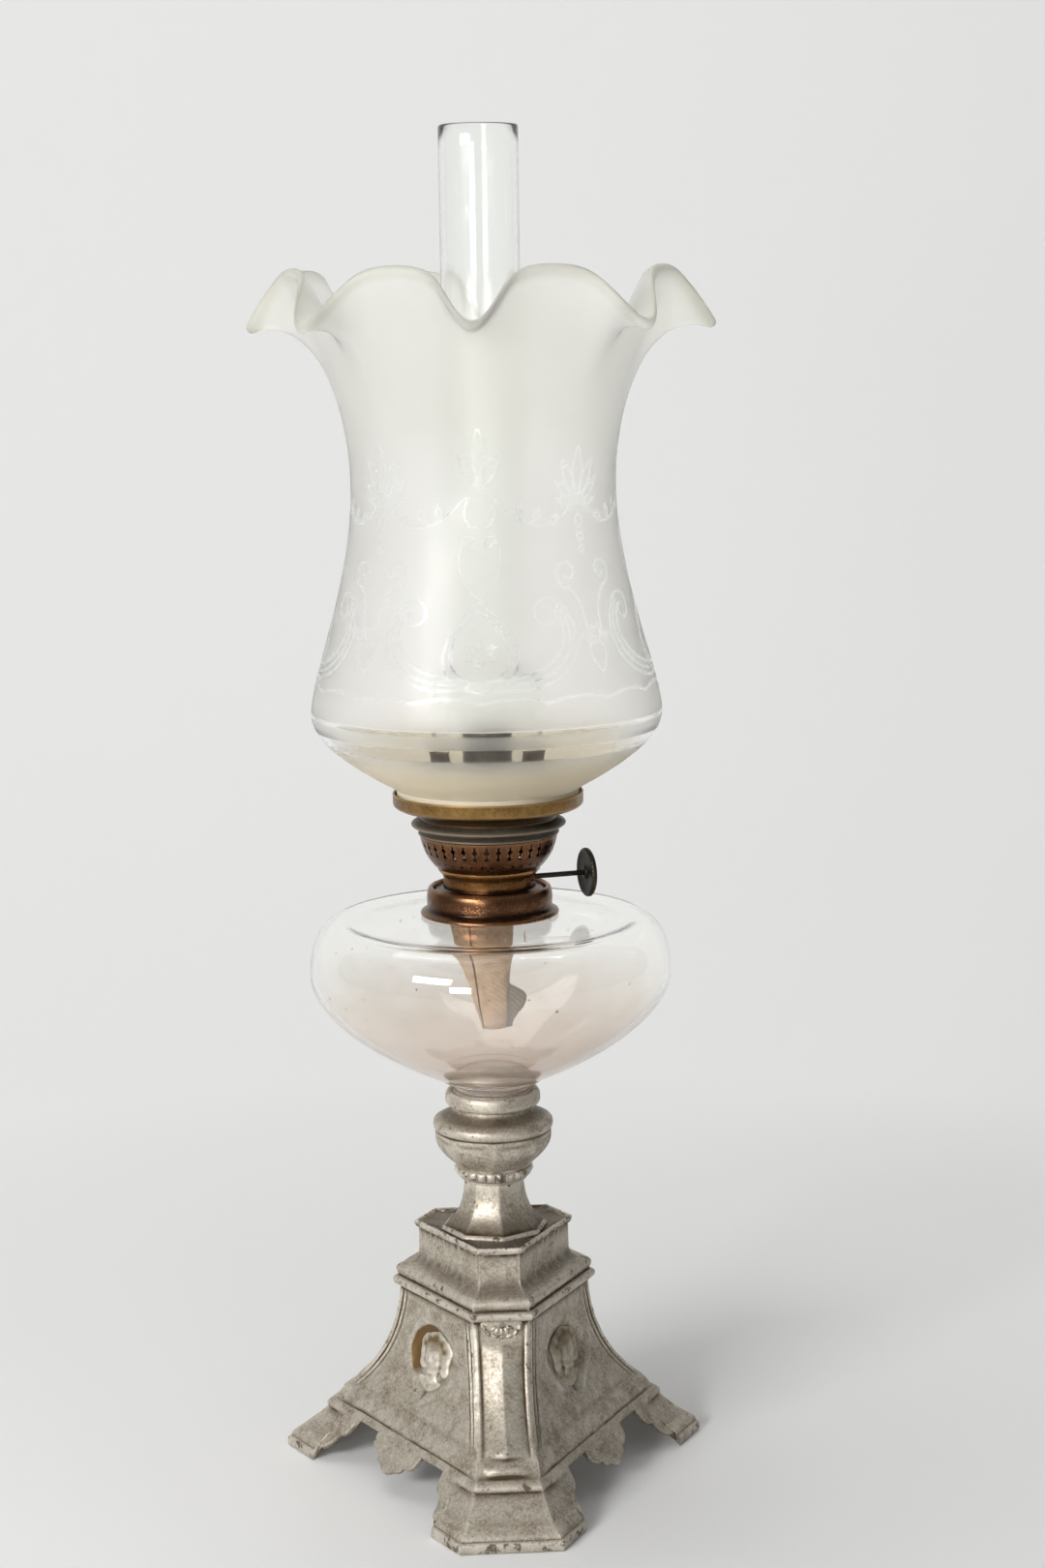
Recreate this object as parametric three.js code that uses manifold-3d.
// Kerosene table lamp: a three-footed cast pedestal, a glass oil font, a round-wick burner
// with its wick raiser, a glass chimney and a ruffled glass shade on a brass ring.
// Millimetres, +Z up. The origin is on the lamp's axis at the floor, with one foot along -Y.

import * as THREE from 'three';
import { mergeVertices } from 'three/addons/utils/BufferGeometryUtils.js';
import Module from 'manifold-3d';

const wasm = await Module();
wasm.setup();

// Clearances
const SEAT_GAP = 0.3;
const SLIDE_GAP = 0.4;
const CUT_MARGIN = 1;

// Round pieces: how many sides each kind has
const LARGE_SIDES = 32;
const ROUND_SIDES = 24;
const SMALL_SIDES = 12;
const FACET_SIDES = 8;

// Cast base. A corner size runs from the axis to the face of a corner, a side size to a side
const CASTING_WALL = 3.5;
const TOE_HEIGHT = 5;
const TOE_CORNER = 102;
const TOE_SIDE = 71;
const TOE_STEP = 2;
const FOOT_CORNER = 98;
const FOOT_SIDE = 66.3;
const FOOT_RISE = 15.5;
const KNEE_CORNER = 80.5;
const KNEE_SIDE = 52.7;
const BAND_CORNER = 74.3;
const BAND_SIDE = 48.7;
const BAND_RISE = 9.5;
const BAND_STEP = 1.5;
const FLARE_CORNER = 48;
const FLARE_SIDE = 33.6;
const FLARE_HEIGHT = 20;
const WAIST_CORNER = 43.8;
const WAIST_SIDE = 33.2;
const BODY_RISE = 53;
const CORNICE_CORNER = 47.2;
const CORNICE_SIDE = 35.5;
const CORNICE_LIP_HEIGHT = 5.5;
const CORNICE_STEP = 2;
const CORNICE_BEAD_HEIGHT = 3.5;
const CORNICE_COVE_HEIGHT = 5.5;
const BLOCK_CORNER = 35.4;
const BLOCK_SIDE = 25.7;
const BLOCK_HEIGHT = 18.3;
const BLOCK_LIP = 0.8;
const BLOCK_LIP_HEIGHT = 3.5;

// Openings between the feet, and the leaf that hangs in the middle of each
const ARCH_HALF_WIDTH = 53.5;
const ARCH_SHOULDER_HALF_WIDTH = 38.5;
const ARCH_HEIGHT = 22;
const ARCH_SCALLOP_HEIGHT = 13.5;
const LEAF_HALF_WIDTH = 19.5;
const LEAF_DROP = 12.5;
const LEAF_LOBE_HALF_WIDTH = 10.5;
const LEAF_LOBE_DROP = 8;

// Tie rod that clamps the pedestal, with its plate and nut under the block
const ROD_RADIUS = 3;
const ROD_HEAD_RADIUS = 7;
const ROD_HEAD_HEIGHT = 3;
const ROD_TAIL = 5;
const CLAMP_PLATE_RADIUS = 13;
const CLAMP_PLATE_HEIGHT = 2.5;
const NUT_RADIUS = 7;
const NUT_HEIGHT = 5;

// Stem, gadroon band and knop
const STEM_HEIGHT = 22.3;
const STEM_RADIUS = 14.2;
const STEM_FOOT_SETBACK = 1.2;
const STEM_FOOT_EDGE = 1.5;
const STEM_FLARE_RADIUS = 14.4;
const STEM_FLARE_HEIGHT = 8.2;
const STEM_BORE_RADIUS = 7;
const GADROON_HEIGHT = 6.2;
const GADROON_RADIUS = 18.4;
const GADROON_FOOT = 0.8;
const KNOP_FOOT_RADIUS = 17.6;
const KNOP_BOWL_HEIGHT = 17;
const KNOP_BOWL_BULGE = 3;
const KNOP_RADIUS = 27.7;
const KNOP_EDGE_HEIGHT = 5.2;
const KNOP_SHOULDER_HEIGHT = 6.5;
const KNOP_TOP_RADIUS = 19;

// Font socket: a bead collar with a deep cup
const SOCKET_RADIUS = 21.9;
const SOCKET_HEIGHT = 7;
const CUP_RADIUS = 14.6;
const CUP_WALL = 2;
const CUP_DEPTH = 12;
const CUP_FLOOR = 3;

// Glass font
const FONT_PEG_RADIUS = 10.8;
const FONT_NECK_RADIUS = 17.3;
const FONT_NECK_HEIGHT = 4.2;
const FONT_FOOT_RADIUS = 23.2;
const FONT_FOOT_EDGE = 1.2;
const FONT_RADIUS = 83.1;
const FONT_BELLY_INSET = 2.6;
const FONT_BELLY_CONTROL = 25;
const FONT_BELLY_RISE = 51;
const FONT_BELLY_HANDLE = 5.5;
const FONT_CREASE_RADIUS = 69;
const FONT_CREASE_RISE = 18.8;
const FONT_SHOULDER_RISE = 7.5;
const FONT_WALL = 4;
const FONT_FLOOR = 6;
const FONT_MOUTH_RADIUS = 25;
const FONT_MOUTH_WALL = 3.5;
const FONT_MOUTH_HEIGHT = 4.5;

// Screw collar cemented on the font
const COLLAR_RADIUS = 28.7;
const COLLAR_HEIGHT = 13;
const COLLAR_WALL = 1.3;
const COLLAR_FLANGE_RADIUS = 31.8;
const COLLAR_FLANGE_HEIGHT = 2.2;
const COLLAR_ROUND = 2.4;
const COLLAR_LEDGE = 1;
const COLLAR_LEDGE_WIDTH = 3;
const GASKET_HEIGHT = 1;

// Burner
const SHEET = 0.9;
const SCREW_HEIGHT = 4.6;
const NECK_RADIUS = 21;
const NECK_HEIGHT = 10;
const NECK_FLARE = 2.6;
const NECK_FLARE_HEIGHT = 3.4;
const NECK_FLOOR_RISE = 0.8;
const NECK_FLOOR = 1.2;
const BASKET_RADIUS = 31.5;
const BASKET_HEIGHT = 15;
const BASKET_FOOT_STEP = 3;
const BASKET_FOOT_HEIGHT = 3.2;
const BASKET_BAND_RADIUS = 28.7;
const BASKET_BAND_RISE = 6;
const SLOT_COUNT = 36;
const SLOT_WIDTH = 2.2;
const SLOT_LENGTH = 6.6;
const SLOT_BOTTOM = 7.2;
const FLANGE_RADIUS = 35.3;
const FLANGE_HEIGHT = 7.2;
const FLANGE_EDGE = 1.6;
const FLANGE_BEAD = 0.8;

// Wick tubes and wick
const WICK_TUBE_RADIUS = 11.25;
const WICK_TUBE_WALL = 0.5;
const WICK_TUBE_HEIGHT = 70;
const WICK_TUBE_TAIL = 2.6;
const WICK_TUBE_FLANGE = 2.4;
const WICK_THICKNESS = 1.5;
const WICK_PROUD = 0.6;
const WICK_RAISE = 6;
const WICK_SPREAD = 13.6;
const WICK_SPREAD_DEPTH = 4.5;
const WICK_SPREAD_DROP = 14;
const WICK_TAIL_HALF_WIDTH = 5;
const WICK_TAIL_DEPTH = 2.8;
const WICK_TAIL_DROP = 46;
const WICK_STEPS = 14;
const AIR_TUBE_WALL = 0.6;
const AIR_TUBE_BOTTOM = 14;
const DUCT_WIDTH = 7;
const DUCT_HEIGHT = 10;

// Wick raiser
const SPINDLE_AZIMUTH = 15;
const SPINDLE_RADIUS = 1.2;
const SPINDLE_CLEARANCE = 1.2;
const SPROCKET_CLEARANCE = 0.6;
const TOOTH_DEPTH = 0.9;
const SPROCKET_TEETH = 10;
const SPROCKET_WIDTH = 1.6;
const SPROCKET_SPACING = 5;
const BEARING_WIDTH = 4.4;
const BEARING_THICKNESS = 1.5;
const BEARING_CROWN = 1.4;
const BEARING_GAP = 2.2;
const BUSH_WALL = 0.6;
const BUSH_PROUD = 0.8;
const BUSH_LENGTH = 4;
const WHEEL_RADIUS = 11.3;
const WHEEL_REACH = 25;
const WHEEL_EDGE = 1.8;
const WHEEL_HUB_RADIUS = 3;
const WHEEL_HUB_LENGTH = 3.4;
const WHEEL_WEB = 1.1;

// Chimney and its spring holder
const CHIMNEY_FOOT_RADIUS = 25.2;
const CHIMNEY_FOOT_HEIGHT = 60.8;
const CHIMNEY_PINCH_RADIUS = 15.6;
const CHIMNEY_SHOULDER_HEIGHT = 10;
const CHIMNEY_RADIUS = 17.7;
const CHIMNEY_PINCH_HEIGHT = 12;
const CHIMNEY_TUBE_HEIGHT = 224.7;
const CHIMNEY_WALL = 1.8;
const HOLDER_INSET = 3.4;
const HOLDER_OVERHANG = 1.4;
const PRONG_COUNT = 3;
const PRONG_HEIGHT = 31.8;
const PRONG_SPAN = 42;
const PRONG_AZIMUTH = 55;
const PRONG_CURL = 0.9;
const PRONG_CURL_HEIGHT = 4;

// Brass ring under the shade
const RING_SLEEVE_HEIGHT = 2.5;
const RING_SLEEVE_INSET = 4;
const RING_RIM_HEIGHT = 9.5;
const SHADE_FIT = 1;

// Ruffled glass shade
const SHADE_WALL = 2.6;
const SHADE_FITTER_RADIUS = 41.6;
const SHADE_FITTER_HEIGHT = 10.1;
const SHADE_BELLY_RADIUS = 79.6;
const SHADE_BELLY_RISE = 35;
const SHADE_CUP_REACH = 14;
const SHADE_CUP_LIFT = 8;
const SHADE_BELLY_DROP = 14;
const SHADE_WAIST_RADIUS = 59.5;
const SHADE_WAIST_RISE = 103;
const SHADE_BELLY_HANDLE = 17;
const SHADE_WAIST_HANDLE = 43;
const SHADE_THROAT_HANDLE = 32;
const SPOUT_RADIUS = 102;
const SPOUT_RISE = 70;
const SPOUT_HANDLE_RADIUS = 72;
const SPOUT_HANDLE_RISE = 78;
const LOBE_RADIUS = 89;
const LOBE_RISE = 95;
const LOBE_HANDLE_RADIUS = 73;
const LOBE_HANDLE_RISE = 72;
const RUFFLE_COUNT = 8;
const RUFFLE_STEPS = 10;
const RUFFLE_SHARPNESS = 2.6;
const SHADE_TURN = -5;

// Heights, each stacked on the piece below
const kneeZ = TOE_HEIGHT + TOE_STEP + FOOT_RISE;
const flareZ = kneeZ + BAND_RISE;
const waistZ = flareZ + BODY_RISE;
const corniceZ = waistZ + CORNICE_LIP_HEIGHT + CORNICE_BEAD_HEIGHT;
const blockZ = corniceZ + CORNICE_COVE_HEIGHT;
const blockTop = blockZ + BLOCK_HEIGHT;
const stemZ = blockTop + SEAT_GAP;
const gadroonZ = stemZ + STEM_HEIGHT + SEAT_GAP;
const knopZ = gadroonZ + GADROON_HEIGHT + SEAT_GAP;
const knopTop = knopZ + KNOP_BOWL_HEIGHT + KNOP_EDGE_HEIGHT + KNOP_SHOULDER_HEIGHT;
const socketZ = knopTop + SEAT_GAP;
const socketTop = socketZ + SOCKET_HEIGHT;
const cupZ = socketZ - CUP_DEPTH;
const fontZ = socketTop + SEAT_GAP;
const fontBodyZ = fontZ + FONT_NECK_HEIGHT + FONT_FOOT_EDGE;
const bellyZ = fontBodyZ + FONT_BELLY_RISE;
const creaseZ = bellyZ + FONT_CREASE_RISE;
const shoulderZ = creaseZ + FONT_SHOULDER_RISE;
const mouthZ = shoulderZ + FONT_MOUTH_HEIGHT;
const collarZ = shoulderZ + SEAT_GAP;
const ledgeZ = mouthZ + SEAT_GAP;
const gasketZ = ledgeZ + COLLAR_LEDGE + SEAT_GAP;
const burnerZ = gasketZ + GASKET_HEIGHT + SEAT_GAP;
const neckZ = burnerZ + SCREW_HEIGHT;
const neckFloorZ = neckZ + NECK_FLOOR_RISE + NECK_FLOOR;
const basketZ = neckZ + NECK_HEIGHT + SEAT_GAP;
const flangeZ = basketZ + BASKET_HEIGHT + SEAT_GAP;
const flangeTop = flangeZ + FLANGE_HEIGHT;
const holderZ = flangeTop + SEAT_GAP;
const chimneyZ = holderZ + SHEET + SEAT_GAP;
const ringZ = flangeTop + SEAT_GAP;
const ringFloorZ = ringZ + RING_SLEEVE_HEIGHT;
const shadeZ = ringFloorZ + SHEET + SEAT_GAP;

// Radii that follow from the pieces they fit
const rodHole = ROD_RADIUS + SLIDE_GAP;
const cupBore = CUP_RADIUS - CUP_WALL;
const collarBore = COLLAR_RADIUS - COLLAR_WALL;
const screwRadius = FONT_MOUTH_RADIUS;
const ledgeBore = screwRadius - COLLAR_LEDGE_WIDTH;
const wickTubeBore = WICK_TUBE_RADIUS - WICK_TUBE_WALL;
const wickOuter = wickTubeBore - SLIDE_GAP;
const wickInner = wickOuter - WICK_THICKNESS;
const airTubeRadius = wickInner - SLIDE_GAP;
const wickTubeTop = neckFloorZ + WICK_TUBE_HEIGHT;
const airTubeZ = neckFloorZ + AIR_TUBE_BOTTOM;
const prongBore = CHIMNEY_FOOT_RADIUS + SLIDE_GAP;
const sleeveOuter = FLANGE_RADIUS - RING_SLEEVE_INSET;
const rimBore = SHADE_FITTER_RADIUS + SHADE_FIT;
const spindleOffset = WICK_TUBE_RADIUS + SPINDLE_RADIUS + SPINDLE_CLEARANCE;
const wickFace = Math.sqrt(wickOuter ** 2 - (SPROCKET_SPACING - SPROCKET_WIDTH / 2) ** 2);
const sprocketRadius = spindleOffset - wickFace - SLIDE_GAP;
const spindleZ = neckFloorZ + sprocketRadius + SPROCKET_CLEARANCE;

// A finish that several pieces share
function finish(colour, roughness, metalness) {
  return new THREE.MeshStandardMaterial({ color: colour, roughness, metalness });
}

const castMetal = finish(0xa9a494, 0.45, 0.9);
const patinatedBrass = finish(0x5a3a28, 0.4, 0.9);
const polishedBrass = finish(0xa5803c, 0.35, 1);
const blackedSteel = finish(0x2f2b25, 0.5, 0.8);
const clearGlass = finish(0xe6ebe6, 0.05, 0);
const frostedGlass = finish(0xefece0, 0.6, 0);
const plaster = finish(0xd8d2c0, 0.9, 0);
const leather = finish(0x5c4632, 0.8, 0);
const cotton = finish(0xd3b59a, 0.95, 0);

const lamp = new THREE.Group();

// A point of a profile: distance from the axis, and height
function at(radius, height) {
  return new THREE.Vector2(radius, height);
}

function bezier(start, startHandle, endHandle, end, steps) {
  return new THREE.CubicBezierCurve(start, startHandle, endHandle, end).getPoints(steps);
}

function sweep(start, handle, end, steps) {
  return new THREE.QuadraticBezierCurve(start, handle, end).getPoints(steps);
}

// A profile turned round the axis, with its first corner towards -Y
function turned(profile, sides, start = 0) {
  return new THREE.LatheGeometry(profile, sides, start).rotateX(Math.PI / 2);
}

// A profile that closes on itself, turned round the axis
function turnedRing(profile, sides, start = 0) {
  return turned([...profile, profile[0]], sides, start);
}

// A plain rod along the Z axis
function rod(radius, start, end) {
  return turned([at(0, start), at(radius, start), at(radius, end), at(0, end)], SMALL_SIDES);
}

function tube(inner, outer, bottom, top, sides) {
  return turnedRing([at(inner, bottom), at(outer, bottom), at(outer, top), at(inner, top)], sides);
}

function toSolid(geometry) {
  const bare = geometry.clone();
  bare.deleteAttribute('normal');
  bare.deleteAttribute('uv');
  const welded = mergeVertices(bare);
  const corners = welded.index.array;
  const kept = [];
  for (let i = 0; i < corners.length; i += 3) {
    const [a, b, c] = corners.slice(i, i + 3);
    if (a !== b && b !== c && c !== a) kept.push(a, b, c);
  }
  return new wasm.Manifold(new wasm.Mesh({
    numProp: 3,
    vertProperties: welded.attributes.position.array,
    triVerts: new Uint32Array(kept),
  }));
}

function toGeometry(solid) {
  const { vertProperties, triVerts } = solid.getMesh();
  const geometry = new THREE.BufferGeometry();
  geometry.setAttribute('position', new THREE.BufferAttribute(vertProperties, 3));
  geometry.setIndex(new THREE.BufferAttribute(triVerts, 1));
  return geometry;
}

// A named piece, from a geometry or from a solid that was cut or joined
function piece(name, shape, material, parent = lamp) {
  const solid = shape.isBufferGeometry ? toSolid(shape) : shape;
  const mesh = new THREE.Mesh(toGeometry(solid), material);
  mesh.name = name;
  parent.add(mesh);
}

// Cast base: a chamfered triangle at every height, where a three-sided turning of the side
// profile meets one of the corner profile
const CORNER_SIZES = {
  toe: TOE_CORNER, foot: FOOT_CORNER, knee: KNEE_CORNER, band: BAND_CORNER, flare: FLARE_CORNER,
  waist: WAIST_CORNER, cornice: CORNICE_CORNER, block: BLOCK_CORNER,
};
const SIDE_SIZES = {
  toe: TOE_SIDE, foot: FOOT_SIDE, knee: KNEE_SIDE, band: BAND_SIDE, flare: FLARE_SIDE,
  waist: WAIST_SIDE, cornice: CORNICE_SIDE, block: BLOCK_SIDE,
};
const FLARE_STEPS = 8;
const COVE_STEPS = 3;

function flareCurve(size) {
  const handle = at(size.flare, flareZ + FLARE_HEIGHT);
  return sweep(at(size.band, flareZ), handle, at(size.waist, waistZ), FLARE_STEPS);
}

function outerProfile(size) {
  const step = size.cornice - CORNICE_STEP;
  return [
    at(0, 0),
    at(size.toe, 0),
    at(size.toe, TOE_HEIGHT),
    at(size.foot, TOE_HEIGHT + TOE_STEP),
    at(size.knee, kneeZ),
    at(size.band + BAND_STEP, flareZ - BAND_STEP),
    ...flareCurve(size),
    at(size.cornice, waistZ + CORNICE_LIP_HEIGHT / 4),
    at(size.cornice, waistZ + CORNICE_LIP_HEIGHT),
    at(step, waistZ + CORNICE_LIP_HEIGHT),
    ...sweep(at(step, corniceZ), at(size.block, corniceZ), at(size.block, blockZ), COVE_STEPS),
    at(size.block, blockTop - BLOCK_LIP_HEIGHT),
    at(size.block + BLOCK_LIP, blockTop - BLOCK_LIP_HEIGHT / 2),
    at(size.block + BLOCK_LIP, blockTop),
    at(0, blockTop),
  ];
}

function innerProfile(size) {
  const inset = (p) => at(p.x - CASTING_WALL, p.y);
  return [
    at(0, -CUT_MARGIN),
    at(size.toe - CASTING_WALL, -CUT_MARGIN),
    at(size.toe - CASTING_WALL, TOE_HEIGHT),
    at(size.foot - CASTING_WALL, TOE_HEIGHT + TOE_STEP),
    at(size.knee - CASTING_WALL, kneeZ),
    ...flareCurve(size).map(inset),
    at(size.block - CASTING_WALL, blockZ),
    at(size.block - CASTING_WALL, blockTop - CASTING_WALL),
    at(0, blockTop - CASTING_WALL),
  ];
}

// A turning with three sides is twice as far to its corners as to its faces
function threeSided(profile, start) {
  return toSolid(turned(profile.map((p) => at(2 * p.x, p.y)), 3, start));
}

function chamferedTriangle(profileOf) {
  const sides = threeSided(profileOf(SIDE_SIZES), 0);
  const corners = threeSided(profileOf(CORNER_SIZES), Math.PI / 3);
  return sides.intersect(corners);
}

// Outline of the opening under one side, from foot to foot, with scalloped foot edges and a leaf
// of three lobes
function archOutline() {
  const scallop = (ARCH_HALF_WIDTH + ARCH_SHOULDER_HALF_WIDTH) / 2;
  const leafTip = ARCH_HEIGHT - LEAF_DROP;
  const lobeTip = ARCH_HEIGHT - LEAF_LOBE_DROP;
  const outline = new THREE.Shape();
  outline.moveTo(-ARCH_HALF_WIDTH, -CUT_MARGIN);
  outline.lineTo(ARCH_HALF_WIDTH, -CUT_MARGIN);
  outline.lineTo(ARCH_HALF_WIDTH, TOE_HEIGHT + TOE_STEP);
  outline.quadraticCurveTo(scallop, TOE_HEIGHT + TOE_STEP, scallop, ARCH_SCALLOP_HEIGHT);
  outline.quadraticCurveTo(ARCH_SHOULDER_HALF_WIDTH, ARCH_SCALLOP_HEIGHT,
    ARCH_SHOULDER_HALF_WIDTH, ARCH_HEIGHT);
  outline.lineTo(LEAF_HALF_WIDTH, ARCH_HEIGHT);
  outline.quadraticCurveTo(LEAF_HALF_WIDTH, lobeTip, LEAF_LOBE_HALF_WIDTH, lobeTip);
  outline.quadraticCurveTo(LEAF_LOBE_HALF_WIDTH, leafTip, 0, leafTip);
  outline.quadraticCurveTo(-LEAF_LOBE_HALF_WIDTH, leafTip, -LEAF_LOBE_HALF_WIDTH, lobeTip);
  outline.quadraticCurveTo(-LEAF_HALF_WIDTH, lobeTip, -LEAF_HALF_WIDTH, ARCH_HEIGHT);
  outline.lineTo(-ARCH_SHOULDER_HALF_WIDTH, ARCH_HEIGHT);
  outline.quadraticCurveTo(-ARCH_SHOULDER_HALF_WIDTH, ARCH_SCALLOP_HEIGHT, -scallop, ARCH_SCALLOP_HEIGHT);
  outline.quadraticCurveTo(-scallop, TOE_HEIGHT + TOE_STEP, -ARCH_HALF_WIDTH, TOE_HEIGHT + TOE_STEP);
  return outline;
}

function baseCasting() {
  let solid = chamferedTriangle(outerProfile).subtract(chamferedTriangle(innerProfile));
  const reach = TOE_SIDE - WAIST_SIDE + 2 * CASTING_WALL;
  for (let side = 0; side < 3; side += 1) {
    const arch = new THREE.ExtrudeGeometry(archOutline(), {
      depth: reach, bevelEnabled: false, curveSegments: 3,
    });
    arch.rotateX(Math.PI / 2);
    arch.translate(0, -WAIST_SIDE + CASTING_WALL, 0);
    arch.rotateZ(Math.PI / 3 + side * 2 * Math.PI / 3);
    solid = solid.subtract(toSolid(arch));
  }
  return solid.subtract(toSolid(rod(rodHole, 0, blockTop + CUT_MARGIN)));
}
piece('base_casting', baseCasting(), castMetal);

// Tie rod, clamp plate and nut
const plateZ = blockTop - CASTING_WALL - SEAT_GAP - CLAMP_PLATE_HEIGHT;
const nutZ = plateZ - SEAT_GAP - NUT_HEIGHT;
const cupFloorTop = cupZ + CUP_FLOOR;
const rodHeadZ = cupFloorTop + SEAT_GAP;
const rodHeadTop = rodHeadZ + ROD_HEAD_HEIGHT;

piece('clamp_plate', tube(rodHole, CLAMP_PLATE_RADIUS, plateZ, plateZ + CLAMP_PLATE_HEIGHT, ROUND_SIDES),
  blackedSteel);
const nutBlank = turned([at(0, nutZ), at(NUT_RADIUS, nutZ), at(NUT_RADIUS, nutZ + NUT_HEIGHT),
  at(0, nutZ + NUT_HEIGHT)], 6);
const nutBore = rod(ROD_RADIUS + SEAT_GAP, nutZ - CUT_MARGIN, nutZ + NUT_HEIGHT + CUT_MARGIN);
piece('tie_rod_nut', toSolid(nutBlank).subtract(toSolid(nutBore)), blackedSteel);
piece('tie_rod', turned([
  at(0, nutZ - ROD_TAIL),
  at(ROD_RADIUS, nutZ - ROD_TAIL),
  at(ROD_RADIUS, rodHeadZ),
  at(ROD_HEAD_RADIUS, rodHeadZ),
  at(ROD_HEAD_RADIUS, rodHeadTop),
  at(0, rodHeadTop),
], SMALL_SIDES), blackedSteel);

// Stem with eight facets, flaring on to the block
const stemFoot = BLOCK_SIDE - STEM_FOOT_SETBACK;
const stemTop = stemZ + STEM_HEIGHT;
piece('stem', turnedRing([
  at(STEM_BORE_RADIUS, stemZ),
  at(stemFoot, stemZ),
  at(stemFoot, stemZ + STEM_FOOT_EDGE),
  ...sweep(at(stemFoot - STEM_FOOT_EDGE, stemZ + STEM_FOOT_EDGE),
    at(STEM_FLARE_RADIUS, stemZ + STEM_FLARE_HEIGHT), at(STEM_RADIUS, stemTop), 8),
  at(STEM_BORE_RADIUS, stemTop),
], FACET_SIDES), castMetal);

// Gadroon band
const gadroonTop = gadroonZ + GADROON_HEIGHT;
piece('gadroon_band', turnedRing([
  at(STEM_BORE_RADIUS, gadroonZ),
  at(STEM_RADIUS + GADROON_FOOT, gadroonZ),
  ...sweep(at(STEM_RADIUS + GADROON_FOOT, gadroonZ), at(GADROON_RADIUS, gadroonZ + GADROON_HEIGHT / 4),
    at(GADROON_RADIUS, gadroonTop - SHEET), 4),
  at(GADROON_RADIUS, gadroonTop),
  at(STEM_BORE_RADIUS, gadroonTop),
], ROUND_SIDES), castMetal);

// Knop: an eight-petalled bowl under a round shoulder, hollow for the cup
function knop() {
  const bowlTop = knopZ + KNOP_BOWL_HEIGHT;
  const edgeTop = bowlTop + KNOP_EDGE_HEIGHT;
  const cupHole = CUP_RADIUS + SLIDE_GAP;
  const cupHoleZ = cupZ - SEAT_GAP;
  const bowlRim = KNOP_RADIUS - SHEET;
  const bowl = turned([
    at(0, knopZ),
    ...sweep(at(KNOP_FOOT_RADIUS, knopZ), at(bowlRim + KNOP_BOWL_BULGE, knopZ + KNOP_BOWL_HEIGHT / 2),
      at(bowlRim, bowlTop), 6),
    at(bowlRim, bowlTop + KNOP_EDGE_HEIGHT / 2),
    at(0, bowlTop + KNOP_EDGE_HEIGHT / 2),
  ], FACET_SIDES);
  const shoulder = turned([
    at(0, bowlTop),
    at(KNOP_RADIUS - SHEET, bowlTop),
    at(KNOP_RADIUS, bowlTop + KNOP_EDGE_HEIGHT / 3),
    at(KNOP_RADIUS, edgeTop - KNOP_EDGE_HEIGHT / 3),
    at(KNOP_RADIUS - SHEET, edgeTop),
    at(KNOP_TOP_RADIUS, knopTop),
    at(0, knopTop),
  ], ROUND_SIDES);
  const hollow = turned([
    at(0, knopZ - CUT_MARGIN),
    at(STEM_BORE_RADIUS, knopZ - CUT_MARGIN),
    at(STEM_BORE_RADIUS, cupHoleZ),
    at(cupHole, cupHoleZ),
    at(cupHole, knopTop + CUT_MARGIN),
    at(0, knopTop + CUT_MARGIN),
  ], ROUND_SIDES);
  return toSolid(bowl).add(toSolid(shoulder)).subtract(toSolid(hollow));
}
piece('knop', knop(), castMetal);

// Font socket: a bead collar on the knop, with a cup let into it
piece('font_socket', turnedRing([
  at(rodHole, cupZ),
  at(CUP_RADIUS, cupZ),
  at(CUP_RADIUS, socketZ),
  at(SOCKET_RADIUS - CUP_WALL, socketZ),
  at(SOCKET_RADIUS, socketZ + SOCKET_HEIGHT / 3),
  at(SOCKET_RADIUS, socketTop - SOCKET_HEIGHT / 3),
  at(SOCKET_RADIUS - CUP_WALL, socketTop),
  at(cupBore, socketTop),
  at(cupBore, cupFloorTop),
  at(rodHole, cupFloorTop),
], ROUND_SIDES), castMetal);

// Glass font, with a solid peg that is cemented in the cup
function fontBody(inset, floorZ, mouth) {
  const foot = at(FONT_FOOT_RADIUS - inset, floorZ);
  const belly = at(FONT_RADIUS - inset, bellyZ);
  const crease = at(FONT_CREASE_RADIUS - inset, creaseZ - inset / 2);
  const shoulder = at(mouth, shoulderZ - inset);
  const lower = bezier(foot, at(belly.x - FONT_BELLY_INSET, floorZ + FONT_BELLY_CONTROL),
    at(belly.x, bellyZ - FONT_BELLY_HANDLE), belly, 6);
  const upper = sweep(belly, at(belly.x - FONT_BELLY_INSET / 2, crease.y - FONT_FOOT_EDGE), crease, 4);
  const top = sweep(crease, at((crease.x + mouth) / 2 + FONT_WALL, shoulder.y), shoulder, 3);
  return [...lower, ...upper.slice(1), ...top.slice(1)];
}

function fontGlass() {
  const pegZ = rodHeadTop + SEAT_GAP;
  const mouthBore = FONT_MOUTH_RADIUS - FONT_MOUTH_WALL;
  const outside = fontBody(0, fontBodyZ, FONT_MOUTH_RADIUS);
  const inside = fontBody(FONT_WALL, fontBodyZ + FONT_FLOOR, mouthBore);
  return turned([
    at(0, pegZ),
    at(FONT_PEG_RADIUS, pegZ),
    at(FONT_PEG_RADIUS, fontZ),
    at(FONT_NECK_RADIUS, fontZ),
    at(FONT_NECK_RADIUS, fontZ + FONT_NECK_HEIGHT),
    at(FONT_FOOT_RADIUS, fontZ + FONT_NECK_HEIGHT),
    ...outside,
    at(FONT_MOUTH_RADIUS, mouthZ),
    at(mouthBore, mouthZ),
    ...inside.reverse(),
    at(0, fontBodyZ + FONT_FLOOR),
  ], LARGE_SIDES);
}
piece('font_glass', fontGlass(), clearGlass);

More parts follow.
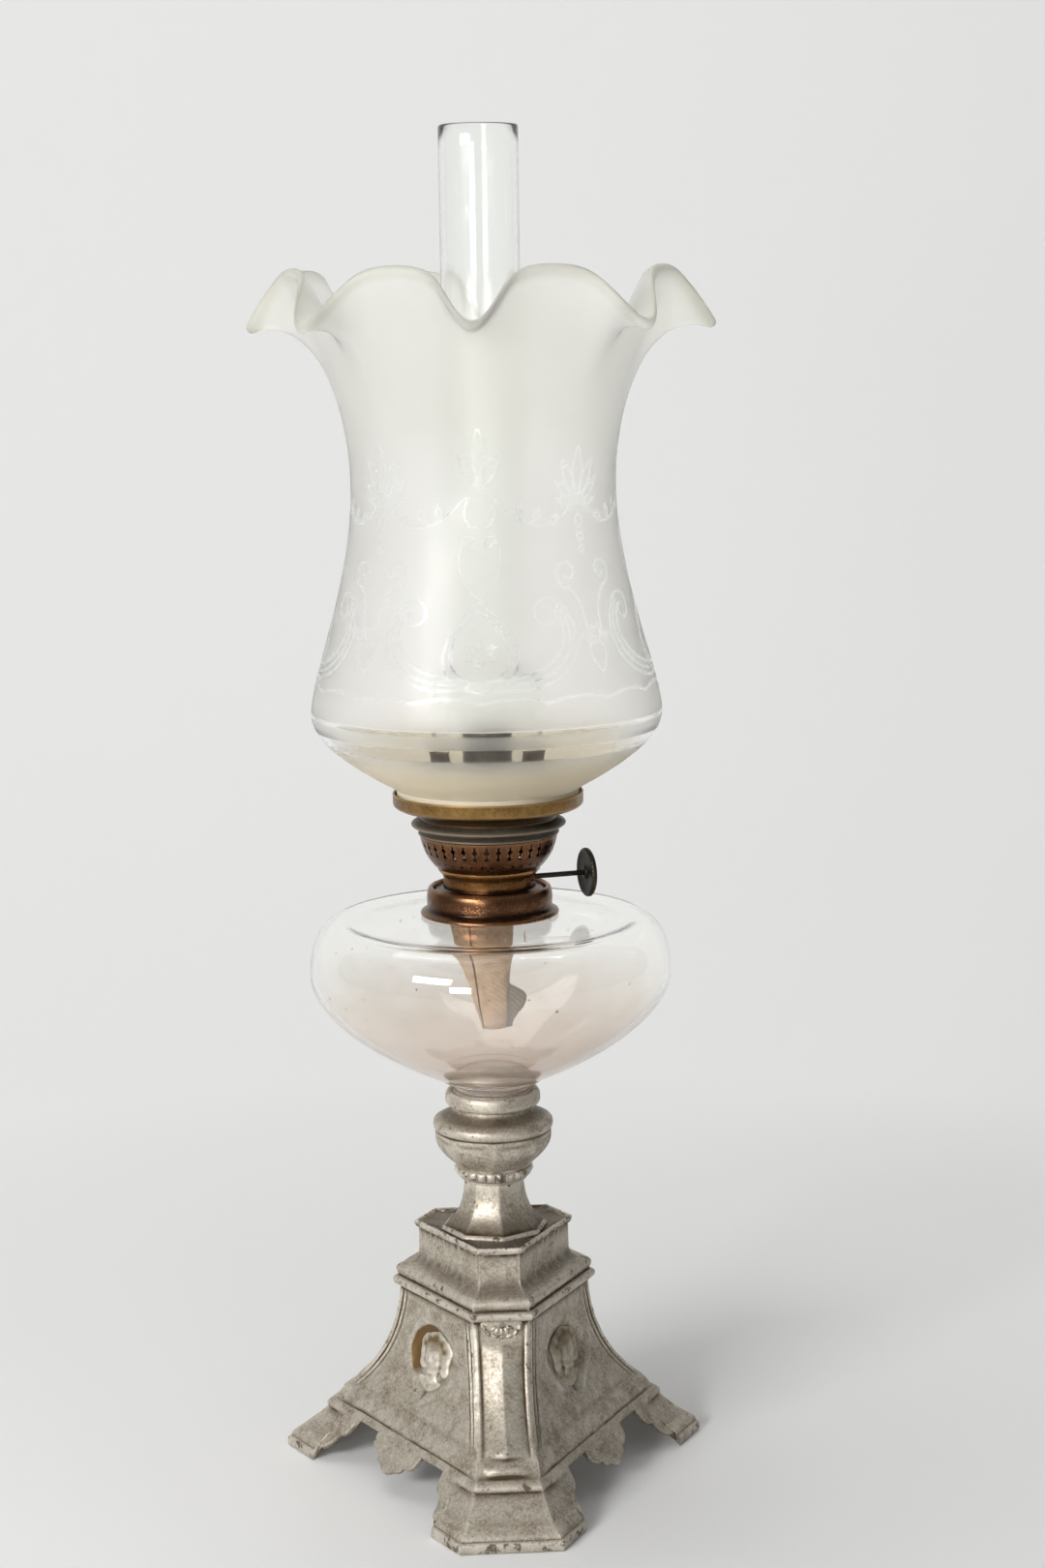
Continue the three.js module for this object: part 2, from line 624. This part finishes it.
piece('socket_plaster', tube(FONT_PEG_RADIUS + SEAT_GAP, cupBore - SEAT_GAP, rodHeadTop + SEAT_GAP,
  socketTop - SEAT_GAP, ROUND_SIDES), plaster);

// Screw collar, its plaster and the leather gasket under the burner
piece('collar_plaster', tube(FONT_MOUTH_RADIUS + SEAT_GAP, collarBore - SEAT_GAP, collarZ + SEAT_GAP,
  mouthZ, ROUND_SIDES), plaster);

const collarTop = collarZ + COLLAR_HEIGHT;
piece('font_collar', turnedRing([
  at(collarBore, collarZ),
  at(COLLAR_FLANGE_RADIUS, collarZ),
  at(COLLAR_FLANGE_RADIUS, collarZ + COLLAR_FLANGE_HEIGHT / 2),
  at(COLLAR_RADIUS, collarZ + COLLAR_FLANGE_HEIGHT),
  ...sweep(at(COLLAR_RADIUS, collarTop - COLLAR_ROUND), at(COLLAR_RADIUS, collarTop),
    at(COLLAR_RADIUS - COLLAR_ROUND, collarTop), 3),
  at(screwRadius + SLIDE_GAP, collarTop),
  at(screwRadius + SLIDE_GAP, ledgeZ + COLLAR_LEDGE),
  at(ledgeBore, ledgeZ + COLLAR_LEDGE),
  at(ledgeBore, ledgeZ),
  at(collarBore, ledgeZ),
], ROUND_SIDES), patinatedBrass);

piece('collar_gasket', tube(ledgeBore + SEAT_GAP, screwRadius, gasketZ, gasketZ + GASKET_HEIGHT, ROUND_SIDES),
  leather);

// The spindle's own frame: local Z runs out along it, local X points down
const spindleTurn = THREE.MathUtils.degToRad(SPINDLE_AZIMUTH);
const spindle = new THREE.Group();
spindle.position.set(spindleOffset * Math.sin(spindleTurn), -spindleOffset * Math.cos(spindleTurn), spindleZ);
spindle.rotation.set(0, Math.PI / 2, spindleTurn, 'ZYX');
spindle.updateMatrix();
lamp.add(spindle);

const neckBore = NECK_RADIUS - SHEET;
const neckExit = Math.sqrt(NECK_RADIUS ** 2 - spindleOffset ** 2);
const bushRadius = SPINDLE_RADIUS + SLIDE_GAP + BUSH_WALL;
const bushEnd = neckExit + BUSH_PROUD;
const bushStart = bushEnd - BUSH_LENGTH;

// Burner base: screw shell, neck and the floor that carries the wick tubes
function burnerBase() {
  const neckTop = neckZ + NECK_HEIGHT;
  const flareZ0 = neckTop - NECK_FLARE_HEIGHT;
  const shell = turnedRing([
    at(screwRadius - SHEET, burnerZ),
    at(screwRadius, burnerZ),
    at(screwRadius, neckZ),
    at(NECK_RADIUS, neckZ),
    at(NECK_RADIUS, flareZ0),
    at(NECK_RADIUS + NECK_FLARE, neckTop),
    at(neckBore + NECK_FLARE, neckTop),
    at(neckBore, flareZ0),
    at(neckBore, neckFloorZ),
    at(WICK_TUBE_RADIUS + SLIDE_GAP, neckFloorZ),
    at(WICK_TUBE_RADIUS + SLIDE_GAP, neckFloorZ - NECK_FLOOR),
    at(neckBore, neckFloorZ - NECK_FLOOR),
    at(neckBore, neckZ - SHEET),
    at(screwRadius - SHEET, neckZ - SHEET),
  ], ROUND_SIDES);
  const hole = rod(bushRadius + SEAT_GAP, bushStart, 2 * NECK_RADIUS);
  return toSolid(shell).subtract(toSolid(hole.applyMatrix4(spindle.matrix)));
}

piece('burner_base', burnerBase(), patinatedBrass);

// Perforated basket: a bowl with a row of dagger-shaped slots
function dagger() {
  const half = SLOT_WIDTH / 2;
  const outline = new THREE.Shape();
  outline.moveTo(0, 0);
  outline.lineTo(half, SLOT_LENGTH - half);
  outline.lineTo(0, SLOT_LENGTH);
  outline.lineTo(-half, SLOT_LENGTH - half);
  return outline;
}

function basket() {
  const foot = NECK_RADIUS + NECK_FLARE;
  const wall = (inset) => [
    at(foot - inset, basketZ),
    at(foot + BASKET_FOOT_STEP - inset, basketZ + BASKET_FOOT_HEIGHT),
    at(BASKET_BAND_RADIUS - inset, basketZ + BASKET_BAND_RISE),
    at(BASKET_RADIUS - inset, basketZ + BASKET_HEIGHT),
  ];
  let solid = toSolid(turnedRing([...wall(0), ...wall(SHEET).reverse()], SLOT_COUNT));
  for (let slot = 0; slot < SLOT_COUNT; slot += 1) {
    const cut = new THREE.ExtrudeGeometry(dagger(), { depth: BASKET_RADIUS, bevelEnabled: false });
    cut.rotateX(Math.PI / 2);
    cut.translate(0, -BASKET_RADIUS / 2, basketZ + SLOT_BOTTOM);
    cut.rotateZ((slot + 0.5) * 2 * Math.PI / SLOT_COUNT);
    solid = solid.subtract(toSolid(cut));
  }
  return solid;
}
piece('burner_basket', basket(), patinatedBrass);

// Flange with a bead and a rolled lip: it closes the basket and carries the holder and the shade ring
piece('gallery_flange', turnedRing([
  at(BASKET_RADIUS - SHEET, flangeZ),
  at(BASKET_RADIUS, flangeZ),
  at(BASKET_RADIUS + FLANGE_BEAD, flangeZ + FLANGE_BEAD),
  at(BASKET_RADIUS, flangeZ + 2 * FLANGE_BEAD),
  at(BASKET_RADIUS + FLANGE_BEAD, flangeTop - 2 * FLANGE_EDGE),
  at(FLANGE_RADIUS, flangeTop - FLANGE_EDGE),
  at(FLANGE_RADIUS, flangeTop - FLANGE_EDGE / 3),
  at(FLANGE_RADIUS - FLANGE_EDGE / 2, flangeTop),
  at(prongBore, flangeTop),
  at(prongBore, flangeTop - SHEET),
  at(BASKET_RADIUS - SHEET, flangeTop - SHEET),
], SLOT_COUNT), patinatedBrass);

// Chimney holder: a flat ring with springy prongs round the chimney's foot
function chimneyHolder() {
  const prongOuter = prongBore + SHEET;
  const floorTop = holderZ + SHEET;
  const prongTop = floorTop + PRONG_HEIGHT;
  const curlZ = prongTop - PRONG_CURL_HEIGHT;
  const cup = turnedRing([
    at(CHIMNEY_FOOT_RADIUS - HOLDER_INSET, holderZ),
    at(prongOuter + HOLDER_OVERHANG, holderZ),
    at(prongOuter + HOLDER_OVERHANG, floorTop),
    at(prongOuter, floorTop),
    at(prongOuter, curlZ),
    at(prongOuter + PRONG_CURL, prongTop),
    at(prongBore + PRONG_CURL, prongTop),
    at(prongBore, curlZ),
    at(prongBore, floorTop),
    at(CHIMNEY_FOOT_RADIUS - HOLDER_INSET, floorTop),
  ], ROUND_SIDES);
  const gap = Math.PI / PRONG_COUNT - THREE.MathUtils.degToRad(PRONG_SPAN) / 2;
  const reach = 2 * prongOuter / Math.cos(gap);
  const sector = new THREE.Shape();
  sector.moveTo(0, 0);
  sector.lineTo(reach * Math.cos(-gap), reach * Math.sin(-gap));
  sector.lineTo(reach * Math.cos(gap), reach * Math.sin(gap));
  let solid = toSolid(cup);
  for (let i = 0; i < PRONG_COUNT; i += 1) {
    const cut = new THREE.ExtrudeGeometry(sector, { depth: PRONG_HEIGHT, bevelEnabled: false });
    cut.translate(0, 0, floorTop + SHEET);
    const middle = THREE.MathUtils.degToRad(PRONG_AZIMUTH - 90) + (2 * i + 1) * Math.PI / PRONG_COUNT;
    solid = solid.subtract(toSolid(cut.rotateZ(middle)));
  }
  return solid;
}
piece('chimney_holder', chimneyHolder(), patinatedBrass);

// Outer wick tube: a flange under the burner floor, windows for the sprockets and for the air duct
function box(width, depth, height, x, y, z) {
  return new THREE.BoxGeometry(width, depth, height).translate(x, y, z);
}

function wickTube() {
  const flangeTopZ = neckFloorZ - NECK_FLOOR - SEAT_GAP;
  const bottom = flangeTopZ - WICK_TUBE_TAIL;
  const body = turnedRing([
    at(wickTubeBore, bottom),
    at(WICK_TUBE_RADIUS, bottom),
    at(WICK_TUBE_RADIUS, flangeTopZ - SHEET),
    at(WICK_TUBE_RADIUS + WICK_TUBE_FLANGE, flangeTopZ - SHEET),
    at(WICK_TUBE_RADIUS + WICK_TUBE_FLANGE, flangeTopZ),
    at(WICK_TUBE_RADIUS, flangeTopZ),
    at(WICK_TUBE_RADIUS, wickTubeTop),
    at(wickTubeBore, wickTubeTop),
  ], ROUND_SIDES);
  const window = SPROCKET_WIDTH + 2 * SLIDE_GAP;
  let solid = toSolid(body);
  for (const side of [-1, 1]) {
    const cut = box(2 * (sprocketRadius + SLIDE_GAP), 2 * (spindleOffset - wickInner), window,
      0, 0, side * SPROCKET_SPACING);
    solid = solid.subtract(toSolid(cut.applyMatrix4(spindle.matrix)));
  }
  const duct = box(DUCT_WIDTH + 2 * SLIDE_GAP, WICK_TUBE_RADIUS, DUCT_HEIGHT + 2 * SLIDE_GAP,
    0, WICK_TUBE_RADIUS, airTubeZ + DUCT_HEIGHT / 2);
  return solid.subtract(toSolid(duct));
}
piece('wick_tube', wickTube(), patinatedBrass);

// Inner air tube: closed below, with a duct at the back that brings air in past the wick's open edge
function airTube() {
  const bore = airTubeRadius - AIR_TUBE_WALL;
  const ductEnd = WICK_TUBE_RADIUS + SLIDE_GAP;
  const cup = turned([
    at(0, airTubeZ),
    at(airTubeRadius, airTubeZ),
    at(airTubeRadius, wickTubeTop),
    at(bore, wickTubeTop),
    at(bore, airTubeZ + AIR_TUBE_WALL),
    at(0, airTubeZ + AIR_TUBE_WALL),
  ], ROUND_SIDES);
  const middle = airTubeZ + DUCT_HEIGHT / 2;
  const reach = ductEnd - bore / 2;
  const core = turned([at(0, airTubeZ + AIR_TUBE_WALL), at(bore, airTubeZ + AIR_TUBE_WALL),
    at(bore, wickTubeTop), at(0, wickTubeTop)], ROUND_SIDES);
  const duct = box(DUCT_WIDTH, reach, DUCT_HEIGHT, 0, ductEnd - reach / 2, middle);
  const draught = box(DUCT_WIDTH - 2 * AIR_TUBE_WALL, WICK_TUBE_RADIUS, DUCT_HEIGHT - 2 * AIR_TUBE_WALL,
    0, ductEnd + CUT_MARGIN - WICK_TUBE_RADIUS / 2, middle);
  const sleeve = toSolid(duct).subtract(toSolid(core));
  return toSolid(cup).add(sleeve).subtract(toSolid(draught));
}
piece('air_tube', airTube(), patinatedBrass);

// Wick: a flat woven strip rolled to an open tube in the burner, folding flat as it hangs in the font
const wickTop = wickTubeTop + WICK_PROUD;
const wickRollZ = neckFloorZ - NECK_FLOOR - SEAT_GAP - WICK_TUBE_TAIL - WICK_RAISE;
const wickSpreadZ = wickRollZ - WICK_SPREAD_DROP;
const wickTailZ = wickSpreadZ - WICK_TAIL_DROP;

function wickSection(halfWidth, halfDepth, height) {
  const opening = Math.asin((DUCT_WIDTH / 2 + 2 * SLIDE_GAP) / wickInner);
  const points = [];
  const ringOf = (offset, step) => {
    const share = step / WICK_STEPS;
    const angle = Math.PI / 2 + opening + share * 2 * (Math.PI - opening);
    points.push(new THREE.Vector3((halfWidth + offset) * Math.cos(angle),
      (halfDepth + offset) * Math.sin(angle), height));
  };
  for (let step = 0; step <= WICK_STEPS; step += 1) ringOf(WICK_THICKNESS / 2, step);
  for (let step = WICK_STEPS; step >= 0; step -= 1) ringOf(-WICK_THICKNESS / 2, step);
  return points;
}

// A skin over matching sections, listed from the top down, closed by a cap at each end
function loft(sections) {
  const count = sections[0].length;
  const half = count / 2;
  const index = [];
  for (let level = 0; level + 1 < sections.length; level += 1) {
    for (let i = 0; i < count; i += 1) {
      const a = level * count + i;
      const b = level * count + (i + 1) % count;
      index.push(a, a + count, b, b, a + count, b + count);
    }
  }
  const last = (sections.length - 1) * count;
  for (let i = 0; i + 1 < half; i += 1) {
    const far = count - 1 - i;
    index.push(i, i + 1, far, far, i + 1, far - 1);
    index.push(last + i, last + far, last + i + 1, last + far, last + far - 1, last + i + 1);
  }
  const geometry = new THREE.BufferGeometry().setFromPoints(sections.flat());
  geometry.setIndex(index);
  return geometry;
}

function wick() {
  const roll = (wickInner + wickOuter) / 2;
  const between = (wickSpreadZ + wickTailZ) / 2;
  return loft([
    wickSection(roll, roll, wickTop),
    wickSection(roll, roll, airTubeZ),
    wickSection(roll, roll, wickRollZ),
    wickSection(WICK_SPREAD, WICK_SPREAD_DEPTH, wickSpreadZ),
    wickSection((WICK_SPREAD + WICK_TAIL_HALF_WIDTH) / 2, (WICK_SPREAD_DEPTH + WICK_TAIL_DEPTH) / 2, between),
    wickSection(WICK_TAIL_HALF_WIDTH, WICK_TAIL_DEPTH, wickTailZ),
  ]);
}
piece('wick', wick(), cotton);

// Wick raiser: spindle, two sprockets that bite the wick, inner bearing, bush and thumb wheel
function sprocket(place) {
  const outline = new THREE.Shape();
  for (let i = 0; i < 2 * SPROCKET_TEETH; i += 1) {
    const radius = i % 2 ? sprocketRadius - TOOTH_DEPTH : sprocketRadius;
    const angle = i * Math.PI / SPROCKET_TEETH;
    const x = radius * Math.cos(angle);
    const y = radius * Math.sin(angle);
    if (i) outline.lineTo(x, y);
    else outline.moveTo(x, y);
  }
  const bore = new THREE.Path();
  bore.absarc(0, 0, SPINDLE_RADIUS + SEAT_GAP, 0, 2 * Math.PI, true);
  outline.holes.push(bore);
  const star = new THREE.ExtrudeGeometry(outline, {
    depth: SPROCKET_WIDTH, bevelEnabled: false, curveSegments: SMALL_SIDES,
  });
  return star.translate(0, 0, place - SPROCKET_WIDTH / 2);
}

const bearingFar = SPROCKET_SPACING + SPROCKET_WIDTH / 2 + BEARING_GAP + BEARING_THICKNESS;
const wheelStart = neckExit + WHEEL_REACH;
const wheelEnd = wheelStart + WHEEL_HUB_LENGTH;

piece('spindle', rod(SPINDLE_RADIUS, -bearingFar, wheelEnd + SHEET), blackedSteel, spindle);
piece('sprocket_inner', sprocket(-SPROCKET_SPACING), polishedBrass, spindle);
piece('sprocket_outer', sprocket(SPROCKET_SPACING), polishedBrass, spindle);

// Bearing plate: it stands on the burner floor and holds the spindle's inner end
function bearing() {
  const foot = spindleZ - neckFloorZ - SEAT_GAP;
  const crown = SPINDLE_RADIUS + BEARING_CROWN;
  const plate = box(foot + crown, BEARING_WIDTH, BEARING_THICKNESS, (foot - crown) / 2, 0,
    BEARING_THICKNESS / 2 - bearingFar);
  const hole = rod(SPINDLE_RADIUS + SLIDE_GAP, -bearingFar - CUT_MARGIN, 0);
  return toSolid(plate).subtract(toSolid(hole));
}
piece('spindle_bearing', bearing(), patinatedBrass, spindle);
piece('spindle_bush', tube(SPINDLE_RADIUS + SLIDE_GAP, bushRadius, bushStart, bushEnd, SMALL_SIDES),
  patinatedBrass, spindle);

const wheelMiddle = (wheelStart + wheelEnd) / 2;
piece('thumb_wheel', turnedRing([
  at(SPINDLE_RADIUS + SEAT_GAP, wheelStart),
  at(WHEEL_HUB_RADIUS, wheelStart),
  at(WHEEL_HUB_RADIUS, wheelMiddle - WHEEL_WEB / 2),
  at(WHEEL_RADIUS - WHEEL_EDGE, wheelMiddle - WHEEL_WEB / 2),
  at(WHEEL_RADIUS - WHEEL_EDGE, wheelMiddle - WHEEL_EDGE / 2),
  at(WHEEL_RADIUS, wheelMiddle - WHEEL_EDGE / 2),
  at(WHEEL_RADIUS, wheelMiddle + WHEEL_EDGE / 2),
  at(WHEEL_RADIUS - WHEEL_EDGE, wheelMiddle + WHEEL_EDGE / 2),
  at(WHEEL_RADIUS - WHEEL_EDGE, wheelMiddle + WHEEL_WEB / 2),
  at(WHEEL_HUB_RADIUS, wheelMiddle + WHEEL_WEB / 2),
  at(WHEEL_HUB_RADIUS, wheelEnd),
  at(SPINDLE_RADIUS + SEAT_GAP, wheelEnd),
], ROUND_SIDES), blackedSteel, spindle);

// Glass chimney: a wide foot, a pinch above the flame and a straight tube
function chimneyWall(inset) {
  const footTop = chimneyZ + CHIMNEY_FOOT_HEIGHT;
  const pinchZ = footTop + CHIMNEY_SHOULDER_HEIGHT;
  const tubeZ = pinchZ + CHIMNEY_PINCH_HEIGHT;
  const foot = CHIMNEY_FOOT_RADIUS - inset;
  const pinch = CHIMNEY_PINCH_RADIUS - inset;
  return [
    at(foot, chimneyZ),
    ...bezier(at(foot, footTop), at(foot, pinchZ - CHIMNEY_SHOULDER_HEIGHT / 4),
      at(pinch, footTop + CHIMNEY_SHOULDER_HEIGHT / 4), at(pinch, pinchZ), 5),
    at(CHIMNEY_RADIUS - inset, tubeZ),
    at(CHIMNEY_RADIUS - inset, tubeZ + CHIMNEY_TUBE_HEIGHT),
  ];
}
piece('chimney', turnedRing([...chimneyWall(0), ...chimneyWall(CHIMNEY_WALL).reverse()], ROUND_SIDES),
  clearGlass);

// Shade ring: a sleeve on the gallery, a floor for the shade and an upright rim round it
const rimTop = ringFloorZ + RING_RIM_HEIGHT;
piece('shade_ring', turnedRing([
  at(sleeveOuter - SHEET, ringZ),
  at(sleeveOuter, ringZ),
  at(sleeveOuter, ringFloorZ),
  at(rimBore + SHEET, ringFloorZ),
  at(rimBore + SHEET, rimTop),
  at(rimBore, rimTop),
  at(rimBore, ringFloorZ + SHEET),
  at(sleeveOuter - SHEET, ringFloorZ + SHEET),
], LARGE_SIDES), polishedBrass);

// Shade: a fitter rim, a round belly, a waist and a ruffle of spouts and lobes
function shadeCurve(spout) {
  const fitterTop = shadeZ + SHADE_FITTER_HEIGHT;
  const shadeBelly = fitterTop + SHADE_BELLY_RISE;
  const waist = at(SHADE_WAIST_RADIUS, shadeBelly + SHADE_WAIST_RISE);
  const belly = at(SHADE_BELLY_RADIUS, shadeBelly);
  const fitter = at(SHADE_FITTER_RADIUS, fitterTop);
  const lip = at(LOBE_RADIUS, waist.y + LOBE_RISE).lerp(at(SPOUT_RADIUS, waist.y + SPOUT_RISE), spout);
  const handle = at(LOBE_HANDLE_RADIUS, waist.y + LOBE_HANDLE_RISE)
    .lerp(at(SPOUT_HANDLE_RADIUS, waist.y + SPOUT_HANDLE_RISE), spout);
  return [
    at(SHADE_FITTER_RADIUS, shadeZ),
    ...bezier(fitter, at(fitter.x + SHADE_CUP_REACH, fitter.y + SHADE_CUP_LIFT),
      at(belly.x, belly.y - SHADE_BELLY_DROP), belly, 4),
    ...bezier(belly, at(belly.x, belly.y + SHADE_BELLY_HANDLE),
      at(waist.x, waist.y - SHADE_WAIST_HANDLE), waist, 3).slice(1),
    ...bezier(waist, at(waist.x, waist.y + SHADE_THROAT_HANDLE), handle, lip, 5).slice(1),
  ];
}

// The same curve, moved in by the wall along its own normal
function insideOf(curve) {
  return curve.map((p, i) => {
    const along = curve[Math.min(i + 1, curve.length - 1)].clone().sub(curve[Math.max(i - 1, 0)]).normalize();
    return at(p.x - along.y * SHADE_WALL, i ? p.y + along.x * SHADE_WALL : p.y);
  });
}

function shade() {
  const steps = RUFFLE_COUNT * RUFFLE_STEPS;
  const column = (spout) => {
    const outside = shadeCurve(spout);
    return [...outside, ...insideOf(outside).reverse(), outside[0]];
  };
  const geometry = turned(column(0), steps);
  const place = geometry.attributes.position;
  const rows = column(0).length;
  for (let i = 0; i <= steps; i += 1) {
    const turn = i * 2 * Math.PI / steps;
    const spout = ((1 + Math.cos(RUFFLE_COUNT * turn)) / 2) ** RUFFLE_SHARPNESS;
    column(spout).forEach((p, row) => {
      place.setXYZ(i * rows + row, p.x * Math.sin(turn), -p.x * Math.cos(turn), p.y);
    });
  }
  return geometry.rotateZ(THREE.MathUtils.degToRad(SHADE_TURN));
}
piece('shade', shade(), frostedGlass);

export default lamp;
